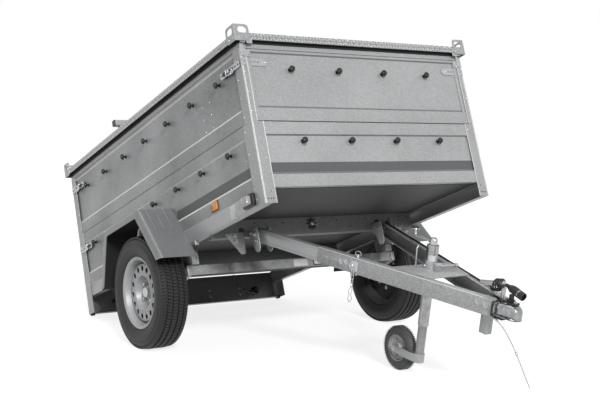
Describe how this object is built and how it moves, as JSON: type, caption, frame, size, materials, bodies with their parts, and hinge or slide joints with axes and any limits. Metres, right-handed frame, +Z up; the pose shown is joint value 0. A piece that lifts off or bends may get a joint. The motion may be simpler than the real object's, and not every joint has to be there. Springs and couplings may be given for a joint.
{
  "type": "single-axle dump trailer",
  "caption": "Flatbed dump trailer, tipped: hinged V drawbar with jockey wheel, folding walls and extension boards, hinged aluminium lid, fendered wheels.",
  "frame": {"origin": "middle of the footprint of the whole trailer, at ground height, as it stands tipped", "axes": "+X to the trailer's left-hand side seen from the front, +Y from the tow coupling to the tailgate, +Z up"},
  "size_m": [1.66, 3.1431, 1.5259],
  "materials": {
    "amber_lens": "amber, glossy",
    "black_plastic": "black, fine grain",
    "clear_cable": "clear sheath over steel wire",
    "clear_lens": "clear, glossy",
    "fender_grey": "grey, satin",
    "floor_board": "dark grey, matt",
    "galvanised": "hot-dip galvanised, spangled",
    "grey_tyre": "dark grey solid tyre",
    "lid_alloy": "satin sheet",
    "rim_silver": "silver lacquer",
    "seal_rubber": "black, matt",
    "tyre_rubber": "black, matt",
    "wall_steel": "zinc-magnesium coated sheet, satin",
    "zinc": "bright zinc plate"
  },
  "bodies": {
    "bed": {"axle_beam": "galvanised", "corner_posts_lower": "wall_steel", "corner_posts_upper": "wall_steel", "cross_beams": "galvanised", "feed_cable": "black_plastic", "fenders": "fender_grey", "floor_panel": "floor_board", "front_wall_lower": "wall_steel", "hinge_brackets": "galvanised", "joint_strips": "wall_steel", "lid_hinge_arms": "galvanised", "rear_lamp_board": "wall_steel", "side_clasps": "black_plastic", "side_lamp_bases": "black_plastic", "side_lamp_lenses": "clear_lens", "side_rails": "wall_steel", "side_reflectors": "amber_lens", "side_walls_lower": "wall_steel", "side_walls_upper": "wall_steel", "tail_lamps": "black_plastic", "tarp_knobs": "black_plastic", "trailing_arms": "galvanised"},
    "lid": {"lid_panel": "lid_alloy", "lid_seal": "seal_rubber", "lid_lugs": "lid_alloy", "lid_crossbar": "lid_alloy"},
    "front_board": {"front_board_upper": "wall_steel", "front_board_knobs": "black_plastic"},
    "rear_board": {"rear_board_upper": "wall_steel"},
    "tailgate": {"tailgate": "wall_steel"},
    "wheel_left": {"tyre_left": "tyre_rubber", "rim_left": "rim_silver", "hub_left": "zinc"},
    "wheel_right": {"tyre_right": "tyre_rubber", "rim_right": "rim_silver", "hub_right": "zinc"},
    "drawbar": {"drawbar_arms_rear": "galvanised", "drawbar_arms_front": "galvanised", "hinge_pins": "zinc", "jockey_plate": "galvanised", "jockey_tube": "galvanised", "jockey_crank": "zinc", "jockey_clamp": "zinc", "coupler": "galvanised", "coupler_handle": "galvanised", "support_leg": "galvanised", "holder_and_clamp": "black_plastic", "plug": "black_plastic", "arm_cable": "black_plastic", "breakaway_wire": "clear_cable"},
    "jockey_leg": {"jockey_leg": "zinc"},
    "jockey_fork": {"jockey_fork": "galvanised"},
    "jockey_wheel": {"jockey_tyre": "grey_tyre", "jockey_rim": "rim_silver"}
  },
  "joints": [
    {"name": "tip_hinge", "type": "hinge", "parent": "bed", "child": "drawbar", "pos_m": [0, -0.18761, 0.57634], "axis": [-1, 0, 0], "range_deg": [0, 28.5]},
    {"name": "wheel_left_spin", "type": "hinge", "parent": "bed", "child": "wheel_left", "pos_m": [-0.739, 0.23666, 0.2735], "axis": [1, 0, 0], "continuous": true},
    {"name": "wheel_right_spin", "type": "hinge", "parent": "bed", "child": "wheel_right", "pos_m": [0.739, 0.23666, 0.2735], "axis": [1, 0, 0], "continuous": true},
    {"name": "lid_hinge", "type": "hinge", "parent": "bed", "child": "lid", "pos_m": [0, -0.43331, 1.44983], "axis": [1, 0, 0], "range_deg": [0, 60]},
    {"name": "front_board_hinge", "type": "hinge", "parent": "bed", "child": "front_board", "pos_m": [0, -0.52123, 1.12258], "axis": [1, 0, 0], "range_deg": [0, 90]},
    {"name": "rear_board_hinge", "type": "hinge", "parent": "bed", "child": "rear_board", "pos_m": [0, 1.36677, 0.4688], "axis": [-1, 0, 0], "range_deg": [0, 90]},
    {"name": "tailgate_hinge", "type": "hinge", "parent": "bed", "child": "tailgate", "pos_m": [0, 1.27123, 0.19287], "axis": [-1, 0, 0], "range_deg": [0, 90]},
    {"name": "jockey_height", "type": "slide", "parent": "drawbar", "child": "jockey_leg", "axis": [0, -0.1633, 0.9866], "range_m": [-0.05, 0.1]},
    {"name": "jockey_swivel", "type": "hinge", "parent": "jockey_leg", "child": "jockey_fork", "pos_m": [0, -0.97193, 0.4465], "axis": [0, -0.1633, 0.9866], "continuous": true},
    {"name": "jockey_wheel_spin", "type": "hinge", "parent": "jockey_fork", "child": "jockey_wheel", "pos_m": [0, -0.7828, 0.1], "axis": [1, 0, 0], "continuous": true}
  ]
}
